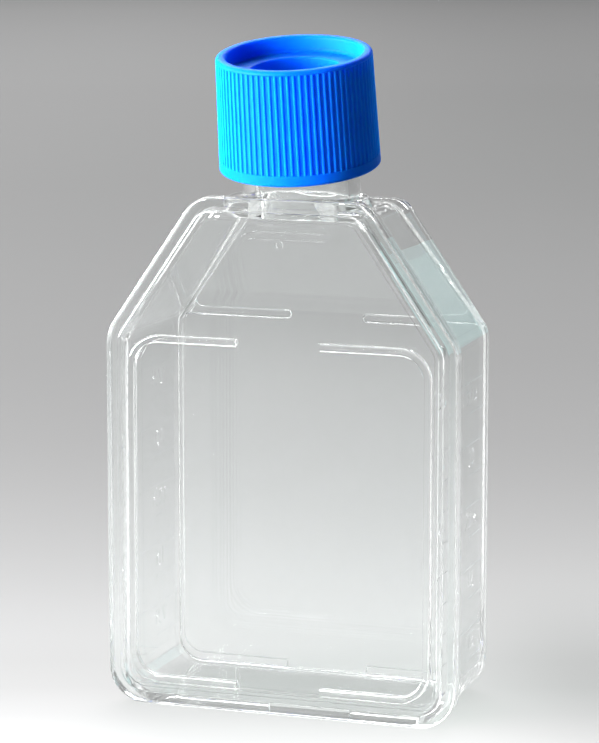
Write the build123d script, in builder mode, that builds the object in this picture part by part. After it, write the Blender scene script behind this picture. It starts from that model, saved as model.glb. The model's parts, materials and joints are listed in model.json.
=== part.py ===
"""Cell culture flask, 25 cm2 growth area: canted-neck bottle moulded in clear
polystyrene, standing on its end, with a welded window plate and a vented screw cap.

Frame: millimetres, +Z up through the neck end, X across the width, -Y towards the
window plate, +Y towards the growth surface. The origin is the middle of the base.
"""
from build123d import *
from math import atan, cos, hypot, radians, sin, tan
import os

# ---------------------------------------------------------------- driving sizes
# weld flange outline, the widest section of the bottle
FLANGE_HALF_W = 25.3        # half width
FLANGE_SHOULDER_Z = 52.7    # where the side meets the sloping shoulder
FLANGE_TOP_HALF_W = 12.2    # half width of the short top edge
FLANGE_TOP_Z = 72.0
CORNER_R_BASE = 5.2
CORNER_R_SHOULDER = 5.5
CORNER_R_TOP = 4.6

# depth stations along Y
Y_RIB_FRONT = -11.7         # front of the window ribs
Y_BEAD = -11.45             # front of the weld bead
Y_LEDGE = -11.1             # front of the plate's outer ledge
Y_PANEL = -10.8             # front of the window panel
Y_SEAM = -9.5               # the plate meets the tub here
Y_TUB = -9.2                # the tub's drafted walls start here, inside the flange
Y_FLANGE_BACK = -8.1        # back of the tub's flange
Y_GROWTH_IN = 9.7           # inner face of the growth surface
Y_GROWTH_OUT = 11.0         # outer face of the growth surface
Y_BACK_RIM = 11.7           # back of the raised stacking rim

# tub walls, measured in from the flange edge; the change is moulding draft
OUTER_INSET_FRONT = 1.55
OUTER_INSET_BACK = 1.85
INNER_INSET_FRONT = 2.85
INNER_INSET_BACK = 3.15
BASE_T = 1.3
EDGE_R = 0.3                # outer edge round the growth side
FLANGE_R = 0.32             # outer edges of the weld flange and of the plate
SEAM_CHAMFER = 0.09         # relieves the outer edge on both sides of the weld
RIM_INNER_R = 0.28
RIB_R = 0.28
CAVITY_R = 0.5              # inner edge round the growth side

# the growth side turns in towards the neck above the bars, as a ramp
RAMP_IN_Z, RAMP_OUT_Z = 54.4, 54.9      # where each face would start to slope if it weren't blended
RAMP_TOP_Z = 69.3
RAMP_IN_TOP_Y, RAMP_OUT_TOP_Y = 6.2, 7.5
RAMP_BLEND_R = 11.0

# stacking rim on the growth side
RIM_W = 1.45
RIM_BASE_W = 2.2
BAR_CORNER_R = 1.0
BAR_Z0, BAR_Z1 = 52.3, 53.6
GAP_HALF = 6.0              # ribs and rims stop this far from the middle

# window plate
LEDGE_W = 1.75
BEAD_W = 1.25
RIB_X = 21.9                # outer side of the window ribs
RIB_W = 1.05
RIB_Z0, RIB_Z1 = 3.35, 52.7
RIB_CORNER_R = 4.6
TONGUE_IN, TONGUE_W, TONGUE_H = 1.4, 0.8, 0.45
GROOVE_CLEAR = 0.05
GATE_Z = 65.8

# neck and cap, both on one canted axis
CANT = 10.0                 # degrees from upright, towards the window side
CAP_BASE_Y, CAP_BASE_Z = -1.7, 75.75
NECK_R, BORE_R = 8.1, 6.4
COLLAR_Y = -2.3             # middle of the low round step that the neck stands on
COLLAR_Z0, COLLAR_Z1 = 69.6, 71.6
COLLAR_R0, COLLAR_R1 = 10.7, 9.7
MOUTH_S = 10.7              # neck mouth, measured up the axis from the cap's lower edge
THREAD_PITCH = 3.3
NECK_THREAD_R = 8.95
NECK_THREAD_S, NECK_TURNS = 3.5, 1.75
CAP_H = 15.9
CAP_R_BASE, CAP_R_TOP = 11.12, 10.72    # over the ribs
CAP_BAND_H = 1.6
CAP_BORE_R = 9.45
CAP_THREAD_R = 8.45
CAP_THREAD_S, CAP_TURNS = 1.85, 1.6     # half a pitch below the neck's thread
DECK_S = 11.0               # underside of the cap's deck
SEAL_R, SEAL_W, SEAL_H = 7.3, 0.5, 0.25     # seal bead that meets the neck's mouth
LEDGE_S = 13.7              # ledge round the vent, sunk in the cap's top
RECESS_R = 9.35
RIM_R_OUT, RIM_R_IN = 0.55, 0.45          # rounding of the cap's top rim
VENT_R = 6.2
CAP_RIBS = 80
RIB_PROUD = 0.18
MEMBRANE_R, MEMBRANE_T = 6.9, 0.22

# graduation on the two side walls
TICK_Z0, TICK_STEP, TICKS = 6.625, 4.375, 10
TICK_W, MARK_PROUD = 0.34, 0.06
TICK_Y_END, TICK_LONG, TICK_SHORT = 9.0, 13.2, 7.4
DIGIT_H, DIGIT_W, STROKE_W, DIGIT_STEP = 2.0, 1.2, 0.3, 1.65
# the volume in millilitres at every long tick, from the lowest
VOLUMES = ["7.5", "15", "22.5", "30", "37.5"]

# ---------------------------------------------------------------- shared outlines
FLANGE = [(-FLANGE_HALF_W, 0), (FLANGE_HALF_W, 0), (FLANGE_HALF_W, FLANGE_SHOULDER_Z),
          (FLANGE_TOP_HALF_W, FLANGE_TOP_Z), (-FLANGE_TOP_HALF_W, FLANGE_TOP_Z),
          (-FLANGE_HALF_W, FLANGE_SHOULDER_Z)]


def inset(amount, base=None):
    """The flange's six corners moved in by amount on every side, and by base at the base."""
    amounts = [amount if base is None else base] + [amount] * 5
    lines = []
    for i in range(6):
        (x0, z0), (x1, z1) = FLANGE[i], FLANGE[(i + 1) % 6]
        length = hypot(x1 - x0, z1 - z0)
        nx, nz = -(z1 - z0) / length, (x1 - x0) / length
        lines.append((x0 + nx * amounts[i], z0 + nz * amounts[i], x1 - x0, z1 - z0))
    corners = []
    for i in range(6):
        ax, az, adx, adz = lines[i - 1]
        bx, bz, bdx, bdz = lines[i]
        t = ((bx - ax) * bdz - (bz - az) * bdx) / (adx * bdz - adz * bdx)
        corners.append((ax + adx * t, az + adz * t))
    return corners


def radii(amount, base_r=None):
    """Corner radii that stay concentric with the flange's when moved in by amount."""
    base = CORNER_R_BASE - amount if base_r is None else base_r
    shoulder, top = CORNER_R_SHOULDER - amount, CORNER_R_TOP - amount
    return [base, base, shoulder, top, top, shoulder]


def at_y(y):
    """A drawing plane square to Y whose local axes are the row's X and Z."""
    return Plane.XZ.offset(-y)


# the neck's axis, the plane that holds it and the plane square to it
_s, _c = sin(radians(CANT)), cos(radians(CANT))
CAP_ORIGIN = (0, CAP_BASE_Y, CAP_BASE_Z)
AXIS_DIR = (0, -_s, _c)
NECK_AXIS = Axis(CAP_ORIGIN, AXIS_DIR)
NECK_SECTION = Plane(origin=CAP_ORIGIN, x_dir=(1, 0, 0), z_dir=(0, -_c, -_s))


def across_neck(s):
    """A plane square to the neck's axis, s millimetres above the cap's lower edge."""
    return Plane(origin=(0, CAP_BASE_Y - s * _s, CAP_BASE_Z + s * _c),
                 x_dir=(1, 0, 0), z_dir=AXIS_DIR)


def on_axis(s):
    """The point on the neck's axis s millimetres above the cap's lower edge."""
    return (0, CAP_BASE_Y - s * _s, CAP_BASE_Z + s * _c)


def radial(point):
    """The direction square to the neck's axis from the axis to a point."""
    offset_vector = Vector(point) - Vector(*CAP_ORIGIN)
    axis = Vector(*AXIS_DIR)
    return (offset_vector - axis * offset_vector.dot(axis)).normalized()


def growth_profile(face_y, start_z, top_y, back_y):
    """Side view of everything behind the growth side: upright from the base, then blended
    into the ramp that leads to the neck, and closed at back_y."""
    slope = (face_y - top_y) / (RAMP_TOP_Z - start_z)
    angle = atan(slope)
    reach = RAMP_BLEND_R * tan(angle / 2)
    first = (face_y, start_z - reach)
    last = (face_y - reach * sin(angle), start_z + reach * cos(angle))
    middle = (face_y - RAMP_BLEND_R * (1 - cos(angle / 2)),
              start_z - reach + RAMP_BLEND_R * sin(angle / 2))
    end = (face_y - slope * (80 - start_z), 80)
    with BuildLine() as outline:
        Line((face_y, -5), first)
        ThreePointArc(first, middle, last)
        Line(last, end)
        Polyline(end, (back_y, 80), (back_y, -5), (face_y, -5))
    return outline


# ---------------------------------------------------------------- the hollow of the tub
# It isn't a piece: it is the space that the tub is moulded round.
INNER_DRAFT = (INNER_INSET_BACK - INNER_INSET_FRONT) / (Y_GROWTH_IN - Y_FLANGE_BACK)
with BuildPart() as cavity:
    with BuildSketch(at_y(Y_FLANGE_BACK)):
        with BuildLine():
            FilletPolyline(*inset(INNER_INSET_FRONT, BASE_T), close=True,
                           radius=radii(INNER_INSET_FRONT, 3.6))
        make_face()
    with BuildSketch(at_y(Y_GROWTH_IN + 3)):
        with BuildLine():
            FilletPolyline(*inset(INNER_INSET_BACK + 3 * INNER_DRAFT, BASE_T), close=True,
                           radius=radii(INNER_INSET_BACK + 3 * INNER_DRAFT, 3.4))
        make_face()
    loft(ruled=True)
    with BuildSketch(Plane.YZ.offset(-30)):
        with BuildLine():
            add(growth_profile(Y_GROWTH_IN, RAMP_IN_Z, RAMP_IN_TOP_Y, 20).line)
        make_face()
    extrude(amount=60, mode=Mode.SUBTRACT)
    growth_faces = [f for f in cavity.faces() if f.normal_at().Y > 0.5]
    growth_edges = [e for f in growth_faces for e in f.edges()]
    fillet([e for e in growth_edges if sum(e.is_same(o) for o in growth_edges) == 1], CAVITY_R)
    with BuildSketch(at_y(Y_FLANGE_BACK)):
        with BuildLine():
            FilletPolyline(*inset(INNER_INSET_FRONT), close=True,
                           radius=radii(INNER_INSET_FRONT))
        make_face()
    extrude(amount=Y_FLANGE_BACK - Y_SEAM)

# ---------------------------------------------------------------- the recess of the growth side
# It isn't a piece either: it is what stands open inside the stacking rim.
with BuildPart() as recess:
    with BuildSketch(at_y(Y_BACK_RIM + 1)):
        with BuildLine():
            FilletPolyline(*inset(OUTER_INSET_BACK + RIM_W, RIM_BASE_W), close=True,
                           radius=[3.0, 3.0, 3.2, 2.4, 2.4, 3.2])
        make_face()
    extrude(amount=Y_BACK_RIM + 1 - 4)
    with BuildSketch(Plane.YZ.offset(-30)):
        with BuildLine():
            add(growth_profile(Y_GROWTH_OUT, RAMP_OUT_Z, RAMP_OUT_TOP_Y, 0).line)
        make_face()
    extrude(amount=60, mode=Mode.SUBTRACT)
    # the rim is open in the middle of the base
    with BuildSketch(at_y(Y_BACK_RIM + 1)):
        with Locations((0, RIM_BASE_W / 2)):
            Rectangle(2 * GAP_HALF, RIM_BASE_W + 4)
    extrude(amount=Y_BACK_RIM + 1 - Y_GROWTH_OUT)
    # the two bars stay
    with BuildSketch(at_y(Y_BACK_RIM + 1)):
        for side in (-1, 1):
            with Locations((side * (GAP_HALF + 10), (BAR_Z0 + BAR_Z1) / 2)):
                Rectangle(20, BAR_Z1 - BAR_Z0)
            with Locations((side * GAP_HALF, (BAR_Z0 + BAR_Z1) / 2)):
                Circle((BAR_Z1 - BAR_Z0) / 2)
    extrude(amount=Y_BACK_RIM + 1 - Y_GROWTH_OUT, mode=Mode.SUBTRACT)
    # the bars run into the rim in rounded corners
    fillet([e for e in recess.edges().filter_by(Axis.Y)
            if abs(e.center().X) > 12
            and min(abs(e.center().Z - BAR_Z0), abs(e.center().Z - BAR_Z1)) < 0.05],
           BAR_CORNER_R)

# ---------------------------------------------------------------- step that the neck stands on
# It is trimmed at the front so that it dies inside the flange.
with BuildPart() as neck_root:
    with BuildSketch(Plane.XY.offset(COLLAR_Z0)):
        with Locations((0, COLLAR_Y)):
            Circle(COLLAR_R0)
    with BuildSketch(Plane.XY.offset(COLLAR_Z1)):
        with Locations((0, COLLAR_Y)):
            Circle(COLLAR_R1)
    loft(ruled=True)
    fillet(faces().sort_by(Axis.Z)[-1].edges(), 0.5)
    split(bisect_by=Plane.XZ.offset(8.7), keep=Keep.BOTTOM)

# ---------------------------------------------------------------- neck thread
with BuildPart() as neck_thread:
    with BuildLine() as neck_helix:
        Helix(pitch=THREAD_PITCH, height=THREAD_PITCH * NECK_TURNS, radius=NECK_R,
              center=on_axis(NECK_THREAD_S), direction=AXIS_DIR)
    with BuildSketch(Plane(origin=neck_helix.line @ 0, z_dir=neck_helix.line % 0,
                           x_dir=radial(neck_helix.line @ 0))):
        Polygon((-0.2, -0.9), (NECK_THREAD_R - NECK_R, -0.35),
                (NECK_THREAD_R - NECK_R, 0.35), (-0.2, 0.9), align=None)
    sweep(is_frenet=True)

# ---------------------------------------------------------------- graduation
# strokes of the digits in a box one wide and one high
STROKES = {
    "0": [[(0.5, 0), (0.8, 0.06), (1, 0.26), (1, 0.74), (0.8, 0.94), (0.5, 1), (0.2, 0.94),
           (0, 0.74), (0, 0.26), (0.2, 0.06), (0.5, 0)]],
    "1": [[(0.18, 0.8), (0.55, 1), (0.55, 0)]],
    "2": [[(0, 0.76), (0.14, 0.94), (0.5, 1), (0.86, 0.94), (1, 0.74), (0.9, 0.54), (0, 0),
           (1, 0)]],
    "3": [[(0, 0.88), (0.3, 1), (0.7, 1), (1, 0.86), (1, 0.68), (0.74, 0.54), (0.4, 0.53)],
          [(0.74, 0.54), (1, 0.4), (1, 0.16), (0.7, 0), (0.3, 0), (0, 0.12)]],
    "5": [[(0.95, 1), (0.1, 1), (0.05, 0.55), (0.5, 0.64), (0.86, 0.56), (1, 0.34),
           (0.86, 0.08), (0.5, 0), (0.14, 0.04), (0, 0.16)]],
    "7": [[(0, 1), (1, 1), (0.36, 0)]],
    ".": [[(0.38, 0.0), (0.62, 0.0)]],
}


def side_wall(side, y, z):
    """A plane in the outer face of a side wall, read from outside, with local Y upright."""
    draft = (OUTER_INSET_BACK - OUTER_INSET_FRONT) / (Y_BACK_RIM - Y_TUB)
    length = hypot(1, draft)
    x = side * (FLANGE_HALF_W - OUTER_INSET_FRONT - draft * (y - Y_TUB))
    return Plane(origin=(x, y, z), x_dir=(-draft / length, side / length, 0),
                 z_dir=(side / length, draft / length, 0))


def rim_edge(edge):
    """True for the inner edges of the stacking rim and the edges of its bars."""
    middle = edge.center()
    return (abs(middle.X) < FLANGE_HALF_W - OUTER_INSET_BACK - EDGE_R - 0.3
            and middle.Z > EDGE_R + 0.3)


# ---------------------------------------------------------------- flask body
with BuildPart() as flask_body:
    # weld flange round the mouth of the tub
    with BuildSketch(at_y(Y_FLANGE_BACK)):
        with BuildLine():
            FilletPolyline(*FLANGE, close=True, radius=radii(0))
        make_face()
    extrude(amount=Y_FLANGE_BACK - Y_SEAM)
    fillet(flask_body.edges().filter_by_position(
        Axis.Y, Y_FLANGE_BACK - 0.01, Y_FLANGE_BACK + 0.01), FLANGE_R)
    chamfer(flask_body.edges().filter_by_position(
        Axis.Y, Y_SEAM - 0.01, Y_SEAM + 0.01), SEAM_CHAMFER)
    # outer shape of the tub, drafted from behind the seam to the growth side
    with BuildPart(mode=Mode.PRIVATE) as tub:
        with BuildSketch(at_y(Y_TUB)):
            with BuildLine():
                FilletPolyline(*inset(OUTER_INSET_FRONT, 0), close=True,
                               radius=radii(OUTER_INSET_FRONT, 4.9))
            make_face()
        with BuildSketch(at_y(Y_BACK_RIM)):
            with BuildLine():
                FilletPolyline(*inset(OUTER_INSET_BACK, 0), close=True,
                               radius=radii(OUTER_INSET_BACK, 4.7))
            make_face()
        loft(ruled=True)
        fillet(faces().sort_by(Axis.Y)[-1].edges(), EDGE_R)
    add(tub.part)
    # neck and the step it stands on
    add(neck_root.part)
    with BuildSketch(across_neck(-8.0)):
        Circle(NECK_R)
    extrude(amount=MOUTH_S + 8.0)
    # hollow and bore
    add(cavity.part, mode=Mode.SUBTRACT)
    with BuildSketch(across_neck(-8.2)):
        Circle(BORE_R)
    extrude(amount=MOUTH_S + 12.0, mode=Mode.SUBTRACT)
    # growth side: the panel and its ramp stand in from a raised rim, so that flasks stack
    add(recess.part, mode=Mode.SUBTRACT)
    fillet([e for e in flask_body.edges().filter_by_position(
        Axis.Y, Y_BACK_RIM - 0.01, Y_BACK_RIM + 0.01) if rim_edge(e)], RIM_INNER_R)
    # groove in the flange that takes the plate's tongue
    with BuildSketch(at_y(Y_SEAM)):
        with BuildLine():
            FilletPolyline(*inset(TONGUE_IN - GROOVE_CLEAR), close=True,
                           radius=radii(TONGUE_IN - GROOVE_CLEAR))
        make_face()
        with BuildLine():
            FilletPolyline(*inset(TONGUE_IN + TONGUE_W + GROOVE_CLEAR), close=True,
                           radius=radii(TONGUE_IN + TONGUE_W + GROOVE_CLEAR))
        make_face(mode=Mode.SUBTRACT)
    extrude(amount=-(TONGUE_H + GROOVE_CLEAR), mode=Mode.SUBTRACT)
    # thread, and the rounded lip of the mouth
    add(neck_thread.part)
    mouth_edges = [e for e in flask_body.edges().filter_by(GeomType.CIRCLE)
                   if (e.arc_center - Vector(*on_axis(MOUTH_S))).length < 0.05]
    fillet(mouth_edges, 0.3)
    # graduation moulded on both side walls: a tick every half step and the volume under
    # each long one
    for side in (-1, 1):
        for n in range(TICKS):
            reach = TICK_LONG if n % 2 else TICK_SHORT
            with BuildSketch(side_wall(side, TICK_Y_END - reach / 2,
                                       TICK_Z0 + n * TICK_STEP).offset(-0.2)):
                Rectangle(reach, TICK_W)
            extrude(amount=0.2 + MARK_PROUD)
            if n % 2 == 0:
                continue
            text = VOLUMES[n // 2]
            width = sum(DIGIT_STEP * (0.55 if c == "." else 1) for c in text)
            u = -width / 2
            with BuildSketch(side_wall(side, 2.9, TICK_Z0 + n * TICK_STEP - 0.75
                                       - DIGIT_H).offset(-0.2)):
                for c in text:
                    for stroke in STROKES[c]:
                        with BuildLine():
                            Polyline(*[(u + DIGIT_W * p, DIGIT_H * q) for p, q in stroke])
                        trace(line_width=STROKE_W)
                    u += DIGIT_STEP * (0.55 if c == "." else 1)
            extrude(amount=0.2 + MARK_PROUD)
flask_body.part.label = "flask_body"

# ---------------------------------------------------------------- window plate
with BuildPart() as front_plate:
    # full outline at the weld, up to the ledge
    with BuildSketch(at_y(Y_SEAM)):
        with BuildLine():
            FilletPolyline(*FLANGE, close=True, radius=radii(0))
        make_face()
    extrude(amount=Y_SEAM - Y_LEDGE)
    fillet(front_plate.edges().filter_by_position(
        Axis.Y, Y_LEDGE - 0.01, Y_LEDGE + 0.01), FLANGE_R)
    chamfer(front_plate.edges().filter_by_position(
        Axis.Y, Y_SEAM - 0.01, Y_SEAM + 0.01), SEAM_CHAMFER)
    # raised bead inside the ledge
    with BuildSketch(at_y(Y_LEDGE)):
        with BuildLine():
            FilletPolyline(*inset(LEDGE_W), close=True, radius=radii(LEDGE_W))
        make_face()
    extrude(amount=Y_LEDGE - Y_BEAD)
    bead_edges = front_plate.edges().filter_by_position(Axis.Y, Y_BEAD - 0.01, Y_BEAD + 0.01)
    fillet(bead_edges, 0.25)
    # window panel, sunk inside the bead
    with BuildSketch(at_y(Y_BEAD)):
        with BuildLine():
            FilletPolyline(*inset(LEDGE_W + BEAD_W), close=True,
                           radius=radii(LEDGE_W + BEAD_W))
        make_face()
    extrude(amount=-(Y_PANEL - Y_BEAD), mode=Mode.SUBTRACT)
    # window ribs, a pair of square brackets that stop short of the middle
    with BuildSketch(at_y(Y_PANEL)):
        with Locations((0, (RIB_Z0 + RIB_Z1) / 2)):
            RectangleRounded(2 * RIB_X, RIB_Z1 - RIB_Z0, RIB_CORNER_R)
            RectangleRounded(2 * (RIB_X - RIB_W), RIB_Z1 - RIB_Z0 - 2 * RIB_W,
                             RIB_CORNER_R - RIB_W, mode=Mode.SUBTRACT)
            Rectangle(2 * GAP_HALF, 80, mode=Mode.SUBTRACT)
    extrude(amount=Y_PANEL - Y_RIB_FRONT)
    fillet(front_plate.edges().filter_by_position(
        Axis.Y, Y_RIB_FRONT - 0.01, Y_RIB_FRONT + 0.01), RIB_R)
    # ring left by the moulding gate
    with BuildSketch(at_y(Y_PANEL)):
        with Locations((0, GATE_Z)):
            Circle(0.62)
            Circle(0.34, mode=Mode.SUBTRACT)
    extrude(amount=0.22)
    # tongue that the weld closes into the flange's groove
    with BuildSketch(at_y(Y_SEAM)):
        with BuildLine():
            FilletPolyline(*inset(TONGUE_IN), close=True, radius=radii(TONGUE_IN))
        make_face()
        with BuildLine():
            FilletPolyline(*inset(TONGUE_IN + TONGUE_W), close=True,
                           radius=radii(TONGUE_IN + TONGUE_W))
        make_face(mode=Mode.SUBTRACT)
    extrude(amount=-TONGUE_H)
front_plate.part.label = "front_plate"

# ---------------------------------------------------------------- screw cap


def crest(s):
    """Radius over the cap's ribs, s millimetres above its lower edge."""
    return CAP_R_BASE + (CAP_R_TOP - CAP_R_BASE) * s / CAP_H


def valley(s):
    return crest(s) - RIB_PROUD


RIBS_S0, RIBS_S1 = CAP_BAND_H - 0.1, CAP_H - RIM_R_OUT - 0.06

with BuildPart() as cap_thread:
    with BuildLine() as cap_helix:
        Helix(pitch=THREAD_PITCH, height=THREAD_PITCH * CAP_TURNS, radius=CAP_BORE_R,
              center=on_axis(CAP_THREAD_S), direction=AXIS_DIR)
    with BuildSketch(Plane(origin=cap_helix.line @ 0, z_dir=cap_helix.line % 0,
                           x_dir=radial(cap_helix.line @ 0))):
        Polygon((0.2, -0.85), (0.2, 0.85), (CAP_THREAD_R - CAP_BORE_R, 0.35),
                (CAP_THREAD_R - CAP_BORE_R, -0.35), align=None)
    sweep(is_frenet=True)

with BuildPart() as screw_cap:
    # ribbed wall
    for s in (RIBS_S0, RIBS_S1):
        with BuildSketch(across_neck(s)):
            Circle(valley(s))
            with PolarLocations(valley(s), CAP_RIBS):
                Polygon((-0.2, -0.41), (RIB_PROUD, -0.08), (RIB_PROUD, 0.08), (-0.2, 0.41),
                        align=None)
    loft(ruled=True)
    # smooth band below the ribs, and the rounded rim above them
    with BuildSketch(NECK_SECTION):
        with BuildLine():
            Polyline((0, 0), (CAP_R_BASE - 0.35, 0))
            ThreePointArc((CAP_R_BASE - 0.35, 0), (CAP_R_BASE - 0.1, 0.1), (CAP_R_BASE, 0.35))
            Polyline((CAP_R_BASE, 0.35), (crest(1.5), CAP_BAND_H - 0.12),
                     (crest(1.5) - 0.12, CAP_BAND_H), (0, CAP_BAND_H), (0, 0))
        make_face()
        with BuildLine():
            Polyline((0, RIBS_S1 - 0.1), (valley(RIBS_S1) - 0.05, RIBS_S1 - 0.1),
                     (crest(RIBS_S1), RIBS_S1 + 0.05), (CAP_R_TOP, CAP_H - RIM_R_OUT))
            ThreePointArc((CAP_R_TOP, CAP_H - RIM_R_OUT),
                          (CAP_R_TOP - 0.293 * RIM_R_OUT, CAP_H - 0.293 * RIM_R_OUT),
                          (CAP_R_TOP - RIM_R_OUT, CAP_H))
            Polyline((CAP_R_TOP - RIM_R_OUT, CAP_H), (0, CAP_H), (0, RIBS_S1 - 0.1))
        make_face()
    revolve(axis=NECK_AXIS)
    # room for the neck, with the seal bead left standing
    with BuildSketch(NECK_SECTION):
        with BuildLine():
            Polyline((0, -0.5), (CAP_BORE_R + 0.4, -0.5), (CAP_BORE_R + 0.4, 0),
                     (CAP_BORE_R, 0.4), (CAP_BORE_R, DECK_S - 0.5))
            ThreePointArc((CAP_BORE_R, DECK_S - 0.5), (CAP_BORE_R - 0.146, DECK_S - 0.146),
                          (CAP_BORE_R - 0.5, DECK_S))
            Polyline((CAP_BORE_R - 0.5, DECK_S),
                     (SEAL_R + SEAL_W / 2, DECK_S), (SEAL_R + SEAL_W / 2 - 0.1, DECK_S - SEAL_H),
                     (SEAL_R - SEAL_W / 2 + 0.1, DECK_S - SEAL_H), (SEAL_R - SEAL_W / 2, DECK_S),
                     (MEMBRANE_R + 0.08, DECK_S), (MEMBRANE_R + 0.08, DECK_S + 0.3),
                     (VENT_R, DECK_S + 0.3), (VENT_R, LEDGE_S - 0.25))
            ThreePointArc((VENT_R, LEDGE_S - 0.25), (VENT_R + 0.073, LEDGE_S - 0.073),
                          (VENT_R + 0.25, LEDGE_S))
            Polyline((VENT_R + 0.25, LEDGE_S), (RECESS_R - 0.55, LEDGE_S))
            ThreePointArc((RECESS_R - 0.55, LEDGE_S), (RECESS_R - 0.2, LEDGE_S + 0.15),
                          (RECESS_R - 0.05, LEDGE_S + 0.5))
            Polyline((RECESS_R - 0.05, LEDGE_S + 0.5), (RECESS_R, CAP_H - RIM_R_IN))
            ThreePointArc((RECESS_R, CAP_H - RIM_R_IN),
                          (RECESS_R + 0.293 * RIM_R_IN, CAP_H - 0.293 * RIM_R_IN),
                          (RECESS_R + RIM_R_IN, CAP_H))
            Polyline((RECESS_R + RIM_R_IN, CAP_H), (RECESS_R + RIM_R_IN, CAP_H + 1), (0, CAP_H + 1),
                     (0, -0.5))
        make_face()
    revolve(axis=NECK_AXIS, mode=Mode.SUBTRACT)
    add(cap_thread.part)
screw_cap.part.label = "screw_cap"

# ---------------------------------------------------------------- vent membrane
with BuildPart() as vent_membrane:
    with BuildSketch(across_neck(DECK_S + 0.3 - 0.02 - MEMBRANE_T)):
        Circle(MEMBRANE_R)
    extrude(amount=MEMBRANE_T)
vent_membrane.part.label = "vent_membrane"

# ---------------------------------------------------------------- written pieces
os.makedirs("parts", exist_ok=True)
for piece in (flask_body, front_plate, screw_cap, vent_membrane):
    export_step(piece.part, "parts/" + piece.part.label + ".step")
    box = piece.part.bounding_box()
    print(piece.part.label, len(piece.part.solids()), piece.part.is_valid,
          round(piece.part.volume, 1), box)
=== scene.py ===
import json
import math
import bpy
from mathutils import Matrix, Quaternion, Vector

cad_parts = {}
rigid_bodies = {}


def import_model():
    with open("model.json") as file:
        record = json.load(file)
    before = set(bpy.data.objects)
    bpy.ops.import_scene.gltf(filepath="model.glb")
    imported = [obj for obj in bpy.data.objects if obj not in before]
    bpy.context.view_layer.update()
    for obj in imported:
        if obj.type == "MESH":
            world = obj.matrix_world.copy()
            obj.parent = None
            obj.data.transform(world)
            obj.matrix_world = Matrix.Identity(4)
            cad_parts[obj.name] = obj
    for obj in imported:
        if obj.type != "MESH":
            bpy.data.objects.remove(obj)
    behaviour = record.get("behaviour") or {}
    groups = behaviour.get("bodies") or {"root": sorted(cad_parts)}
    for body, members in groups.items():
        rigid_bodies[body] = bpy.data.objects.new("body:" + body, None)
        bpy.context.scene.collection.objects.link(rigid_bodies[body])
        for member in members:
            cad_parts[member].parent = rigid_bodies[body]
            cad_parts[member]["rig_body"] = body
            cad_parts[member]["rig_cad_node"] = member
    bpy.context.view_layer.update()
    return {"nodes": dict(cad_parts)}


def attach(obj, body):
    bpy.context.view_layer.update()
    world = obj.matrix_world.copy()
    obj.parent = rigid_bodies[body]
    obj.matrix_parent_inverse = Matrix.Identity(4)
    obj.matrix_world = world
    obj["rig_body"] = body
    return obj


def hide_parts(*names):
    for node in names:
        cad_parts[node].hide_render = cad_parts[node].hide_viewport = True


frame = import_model()
nodes = frame["nodes"]
scene = bpy.context.scene


# ---------------------------------------------------------------- node helpers
def new_material(name):
    m = bpy.data.materials.new(name)
    m.use_nodes = True
    nt = m.node_tree
    for n in list(nt.nodes):
        nt.nodes.remove(n)
    return m, nt


def put(nt, kind, **values):
    """A new node with its sockets and properties set by name."""
    n = nt.nodes.new(kind)
    for key, value in values.items():
        if hasattr(n, key) and key not in n.inputs:
            setattr(n, key, value)
        else:
            n.inputs[key.replace("_", " ")].default_value = value
    return n


def wire(nt, a, out, b, into):
    nt.links.new(a.outputs[out], b.inputs[into])


def ramp(nt, stops, interpolation="LINEAR"):
    r = nt.nodes.new("ShaderNodeValToRGB")
    r.color_ramp.interpolation = interpolation
    el = r.color_ramp.elements
    while len(el) > 1:
        el.remove(el[-1])
    el[0].position = stops[0][0]
    el[0].color = stops[0][1]
    for p, c in stops[1:]:
        e = el.new(p)
        e.color = c
    return r


def grey(v, a=1.0):
    return (v, v, v, a)


# ---------------------------------------------------------------- materials
def clear_plastic(name, wobble=0.005, haze=0.0):
    """Injection-moulded clear polystyrene: bends light, mirrors a little more than
    glass, with the faint flow waviness that such mouldings have."""
    m, nt = new_material(name)
    out = put(nt, "ShaderNodeOutputMaterial")
    coord = put(nt, "ShaderNodeTexCoord")
    flow = put(nt, "ShaderNodeTexNoise", Scale=95.0, Detail=1.0, Roughness=0.4)
    wire(nt, coord, "Object", flow, "Vector")
    tint = ramp(nt, [(0.0, (0.968, 0.985, 0.980, 1)), (1.0, (0.984, 0.994, 0.991, 1))])
    wire(nt, flow, "Fac", tint, "Fac")
    bump = put(nt, "ShaderNodeBump", Strength=wobble, Distance=0.001)
    wire(nt, flow, "Fac", bump, "Height")
    p = put(nt, "ShaderNodeBsdfPrincipled")
    p.inputs["IOR"].default_value = 1.59
    p.inputs["Transmission Weight"].default_value = 0.997
    p.inputs["Roughness"].default_value = haze
    wire(nt, tint, "Color", p, "Base Color")
    wire(nt, bump, "Normal", p, "Normal")
    # lamps shine through the walls
    lamp = put(nt, "ShaderNodeBsdfTransparent", Color=(0.975, 0.985, 0.98, 1))
    path = put(nt, "ShaderNodeLightPath")
    mix = put(nt, "ShaderNodeMixShader")
    wire(nt, path, "Is Shadow Ray", mix, 0)
    wire(nt, p, "BSDF", mix, 1)
    wire(nt, lamp, "BSDF", mix, 2)
    wire(nt, mix, "Shader", out, "Surface")
    return m


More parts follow.
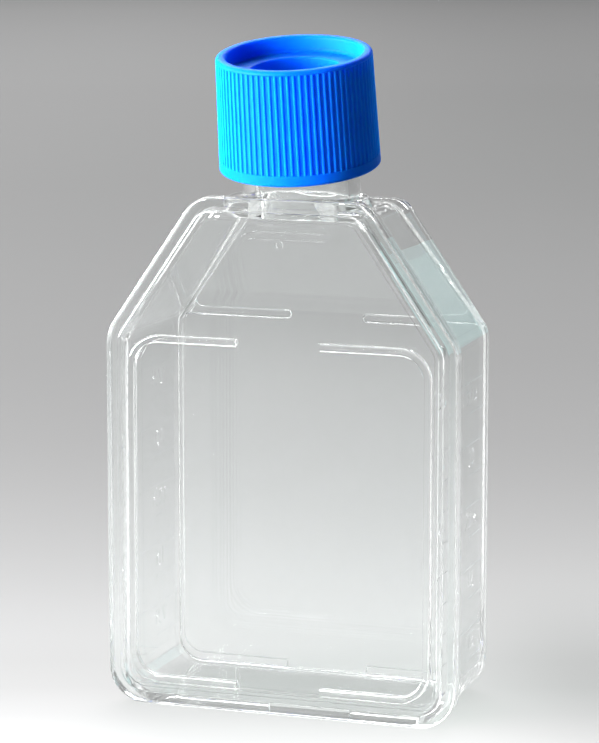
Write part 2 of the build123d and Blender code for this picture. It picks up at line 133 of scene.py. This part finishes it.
def blue_cap(name):
    m, nt = new_material(name)
    out = put(nt, "ShaderNodeOutputMaterial")
    coord = put(nt, "ShaderNodeTexCoord")
    cloud = put(nt, "ShaderNodeTexNoise", Scale=240.0, Detail=3.0, Roughness=0.55)
    wire(nt, coord, "Object", cloud, "Vector")
    colour = ramp(nt, [(0.25, (0.0008, 0.100, 0.640, 1)), (0.75, (0.0012, 0.115, 0.700, 1))])
    wire(nt, cloud, "Fac", colour, "Fac")
    grain = put(nt, "ShaderNodeTexNoise", Scale=9000.0, Detail=2.0, Roughness=0.6)
    wire(nt, coord, "Object", grain, "Vector")
    bump = put(nt, "ShaderNodeBump", Strength=0.12, Distance=0.0001)
    wire(nt, grain, "Fac", bump, "Height")
    rough = put(nt, "ShaderNodeMapRange")
    rough.inputs["To Min"].default_value = 0.42
    rough.inputs["To Max"].default_value = 0.50
    wire(nt, cloud, "Fac", rough, "Value")
    p = put(nt, "ShaderNodeBsdfPrincipled")
    p.inputs["IOR"].default_value = 1.5
    p.inputs["Specular IOR Level"].default_value = 0.02
    p.inputs["Subsurface Weight"].default_value = 0.9
    p.inputs["Subsurface Radius"].default_value = (0.25, 0.6, 1.0)
    p.inputs["Subsurface Scale"].default_value = 0.0015
    wire(nt, colour, "Color", p, "Base Color")
    wire(nt, rough, "Result", p, "Roughness")
    wire(nt, bump, "Normal", p, "Normal")
    wire(nt, p, "BSDF", out, "Surface")
    return m


def membrane(name):
    m, nt = new_material(name)
    out = put(nt, "ShaderNodeOutputMaterial")
    coord = put(nt, "ShaderNodeTexCoord")
    fibre = put(nt, "ShaderNodeTexNoise", Scale=5200.0, Detail=4.0, Roughness=0.7)
    wire(nt, coord, "Object", fibre, "Vector")
    colour = ramp(nt, [(0.3, (0.78, 0.78, 0.76, 1)), (0.7, (0.90, 0.90, 0.88, 1))])
    wire(nt, fibre, "Fac", colour, "Fac")
    bump = put(nt, "ShaderNodeBump", Strength=0.4, Distance=0.0001)
    wire(nt, fibre, "Fac", bump, "Height")
    p = put(nt, "ShaderNodeBsdfPrincipled")
    p.inputs["Roughness"].default_value = 0.85
    wire(nt, colour, "Color", p, "Base Color")
    wire(nt, bump, "Normal", p, "Normal")
    wire(nt, p, "BSDF", out, "Surface")
    return m


def painted_light_floor(name, stops, start, span):
    """Pale paper floor with painted light: greyer from the front to the back as painted fall-off of light,
    with a painted shadow and painted shade darkening it to the right of the flask.
    """
    m, nt = new_material(name)
    out = put(nt, "ShaderNodeOutputMaterial")
    coord = put(nt, "ShaderNodeTexCoord")
    along = put(nt, "ShaderNodeVectorMath", operation="DOT_PRODUCT")
    along.inputs[1].default_value = (-0.3223, 0.9466, 0.0)
    wire(nt, coord, "Object", along, 0)
    scale = put(nt, "ShaderNodeMapRange")
    scale.inputs["From Min"].default_value = start
    scale.inputs["From Max"].default_value = start + span
    wire(nt, along, "Value", scale, "Value")
    # painted fall-off of light: these stops make the paper greyer from the front to the back
    r = ramp(nt, [((d - start) / span, grey(v)) for d, v in stops], "B_SPLINE")
    wire(nt, scale, "Result", r, "Fac")
    # painted shadow: the flask's cast shadow, painted a shade darker to the right, close to where the flask
    # stands
    across = put(nt, "ShaderNodeVectorMath", operation="DOT_PRODUCT")
    across.inputs[1].default_value = (0.9466, 0.3223, 0.0)
    wire(nt, coord, "Object", across, 0)
    painted_shadow_side = put(nt, "ShaderNodeMapRange", interpolation_type="SMOOTHSTEP")
    painted_shadow_side.inputs["From Min"].default_value = 0.016
    painted_shadow_side.inputs["From Max"].default_value = 0.044
    wire(nt, across, "Value", painted_shadow_side, "Value")
    painted_shadow_near = put(nt, "ShaderNodeMapRange", interpolation_type="SMOOTHSTEP")
    painted_shadow_near.inputs["From Min"].default_value = 0.075
    painted_shadow_near.inputs["From Max"].default_value = 0.005
    wire(nt, along, "Value", painted_shadow_near, "Value")
    painted_shadow_mask = put(nt, "ShaderNodeMath", operation="MULTIPLY")
    wire(nt, painted_shadow_side, "Result", painted_shadow_mask, 0)
    wire(nt, painted_shadow_near, "Result", painted_shadow_mask, 1)
    painted_shadow = put(nt, "ShaderNodeMapRange")
    painted_shadow.inputs["To Min"].default_value = 1.0
    painted_shadow.inputs["To Max"].default_value = 0.78
    wire(nt, painted_shadow_mask, "Value", painted_shadow, "Value")
    # and painted shade: a shade darker to the right a long way behind it, standing in for light from the left
    # lamps falling off
    painted_far_side = put(nt, "ShaderNodeMapRange", interpolation_type="SMOOTHSTEP")
    painted_far_side.inputs["From Min"].default_value = -0.12
    painted_far_side.inputs["From Max"].default_value = 0.14
    wire(nt, across, "Value", painted_far_side, "Value")
    painted_far_reach = put(nt, "ShaderNodeMapRange", interpolation_type="SMOOTHSTEP")
    painted_far_reach.inputs["From Min"].default_value = 0.2
    painted_far_reach.inputs["From Max"].default_value = 1.0
    wire(nt, along, "Value", painted_far_reach, "Value")
    painted_far_shade_mask = put(nt, "ShaderNodeMath", operation="MULTIPLY")
    wire(nt, painted_far_side, "Result", painted_far_shade_mask, 0)
    wire(nt, painted_far_reach, "Result", painted_far_shade_mask, 1)
    painted_far_shade = put(nt, "ShaderNodeMapRange")
    painted_far_shade.inputs["To Min"].default_value = 1.0
    painted_far_shade.inputs["To Max"].default_value = 0.82
    wire(nt, painted_far_shade_mask, "Value", painted_far_shade, "Value")
    painted_shades = put(nt, "ShaderNodeMath", operation="MULTIPLY")
    wire(nt, painted_shadow, "Result", painted_shades, 0)
    wire(nt, painted_far_shade, "Result", painted_shades, 1)
    # the paper tone darkened by the painted shadow and the painted shade
    tone = put(nt, "ShaderNodeVectorMath", operation="SCALE")
    wire(nt, r, "Color", tone, 0)
    wire(nt, painted_shades, "Value", tone, "Scale")
    p = put(nt, "ShaderNodeBsdfPrincipled")
    p.inputs["Roughness"].default_value = 0.9
    p.inputs["Specular IOR Level"].default_value = 0.0
    wire(nt, tone, "Vector", p, "Base Color")
    wire(nt, p, "BSDF", out, "Surface")
    return m


def give(obj, material):
    obj.data.materials.clear()
    obj.data.materials.append(material)


clear_tub = clear_plastic("clear_polystyrene")
clear_plate = clear_plastic("clear_polystyrene_plate")
give(nodes["flask_body"], clear_tub)
give(nodes["front_plate"], clear_plate)
give(nodes["screw_cap"], blue_cap("blue_polyethylene"))
give(nodes["vent_membrane"], membrane("membrane_white"))

# the plate, a hair off the tub so that the seam between them shows
plate = nodes["front_plate"].copy()
plate.data = nodes["front_plate"].data.copy()
plate.name = "window_plate"
scene.collection.objects.link(plate)
plate.parent = None
plate.matrix_world = Matrix.Identity(4)
plate.data.transform(Matrix.Translation((0, -0.00002, 0)))
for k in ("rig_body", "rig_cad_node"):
    if k in plate:
        del plate[k]
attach(plate, "flask")
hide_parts("front_plate")

# ---------------------------------------------------------------- floor
def bowl(name, profile, sides=160):
    """A surface of revolution about Z through (radius, height) points."""
    verts = [(0, 0, 0)]
    faces = []
    for r, z in profile:
        for i in range(sides):
            a = 2 * math.pi * i / sides
            verts.append((r * math.cos(a), r * math.sin(a), z))
    for i in range(sides):
        faces.append((0, 1 + i, 1 + (i + 1) % sides))
    for k in range(len(profile) - 1):
        for i in range(sides):
            a, b = 1 + k * sides + i, 1 + k * sides + (i + 1) % sides
            faces.append((a, a + sides, b + sides, b))
    me = bpy.data.meshes.new(name)
    me.from_pydata(verts, [], faces)
    me.polygons.foreach_set("use_smooth", [True] * len(me.polygons))
    me.update()
    o = bpy.data.objects.new(name, me)
    scene.collection.objects.link(o)
    return o


FLAT_R, COVE_R, RIM_Z = 1.9, 1.6, 2.4
profile = [(0.1, 0), (0.3, 0), (0.7, 0), (1.2, 0), (FLAT_R, 0)]
for i in range(1, 17):
    a = math.pi / 2 * i / 16
    profile.append((FLAT_R + COVE_R * math.sin(a), COVE_R * (1 - math.cos(a))))
profile.append((FLAT_R + COVE_R, RIM_Z))
floor = bowl("floor", profile)
floor.location.z = -0.00005
# paper tone stops from front to back, with painted fall-off of light in them
give(floor, painted_light_floor("floor_paper_painted_light", [
    (-1.50, 0.20), (-0.60, 0.10), (-0.45, 0.075), (-0.38, 0.07), (-0.33, 0.075), (-0.30, 0.09), (-0.27, 0.14),
    (-0.24, 0.22), (-0.20, 0.30), (-0.13, 0.36), (-0.08, 0.41), (-0.045, 0.47), (-0.030, 0.46), (-0.017, 0.38), (0.008, 0.285),
    (0.031, 0.300), (0.056, 0.268), (0.084, 0.238), (0.115, 0.214), (0.149, 0.192), (0.188, 0.175),
    (0.232, 0.165), (0.283, 0.155), (0.373, 0.146), (0.489, 0.136), (0.641, 0.127), (0.851, 0.135),
    (1.04, 0.150), (1.3, 0.205), (1.55, 0.28), (2.1, 0.34)], -1.5, 3.6))

# ---------------------------------------------------------------- light
world = bpy.data.worlds.new("studio")
scene.world = world
world.use_nodes = True
world.node_tree.nodes["Background"].inputs["Color"].default_value = (0.93, 0.96, 1.0, 1)
world.node_tree.nodes["Background"].inputs["Strength"].default_value = 0.12


def softbox(name, at, to, size, power, colour=(1, 1, 1), roll=0):
    lamp = bpy.data.lights.new(name, "AREA")
    lamp.shape = "RECTANGLE"
    lamp.size, lamp.size_y = size
    lamp.energy = power
    lamp.color = colour
    o = bpy.data.objects.new(name, lamp)
    scene.collection.objects.link(o)
    o.location = at
    aim = (Vector(to) - Vector(at)).to_track_quat("-Z", "Y")
    o.rotation_euler = (aim @ Quaternion((0, 0, 1), math.radians(roll))).to_euler()
    o.visible_camera = False
    return o


softbox("left", (-1.44, -0.23, 0.42), (0, 0, 0.05), (0.30, 0.50), 27.0)
softbox("key", (-1.09, -0.98, 0.24), (0, 0, 0.05), (1.30, 0.44), 180.0)
softbox("top_back", (-0.30, 0.90, 0.95), (0, 0, 0.04), (1.20, 0.60), 27.0)
softbox("right_card", (0.321, 0.900, 0.156), (0, 0, 0.06), (0.30, 0.30), 0.12, (0.5, 1, 1), 45)
softbox("sweep", (-0.90, 1.60, 2.30), (-0.7, 2.4, 0.3), (1.6, 1.2), 28.0)

# ---------------------------------------------------------------- camera
right = Vector((0.9466, 0.3223, 0.0)).normalized()
ahead = Vector((-0.3175, 0.9325, -0.1719)).normalized()
up = right.cross(ahead)
cam = bpy.data.cameras.new("camera")
cam.lens = 158.05
cam.sensor_width = 36.0
cam.sensor_fit = "AUTO"
cam.clip_start, cam.clip_end = 0.01, 50.0
view = bpy.data.objects.new("camera", cam)
scene.collection.objects.link(view)
view.matrix_world = Matrix.Translation((0.1439, -0.4247, 0.1249)) @ Matrix((
    (right.x, up.x, -ahead.x, 0),
    (right.y, up.y, -ahead.y, 0),
    (right.z, up.z, -ahead.z, 0),
    (0, 0, 0, 1)))
scene.camera = view

scene.view_settings.view_transform = "Standard"
scene.cycles.max_bounces = 96
scene.cycles.transmission_bounces = 96
scene.cycles.glossy_bounces = 96
scene.cycles.transparent_max_bounces = 32
scene.cycles.caustics_reflective = False
scene.cycles.caustics_refractive = False
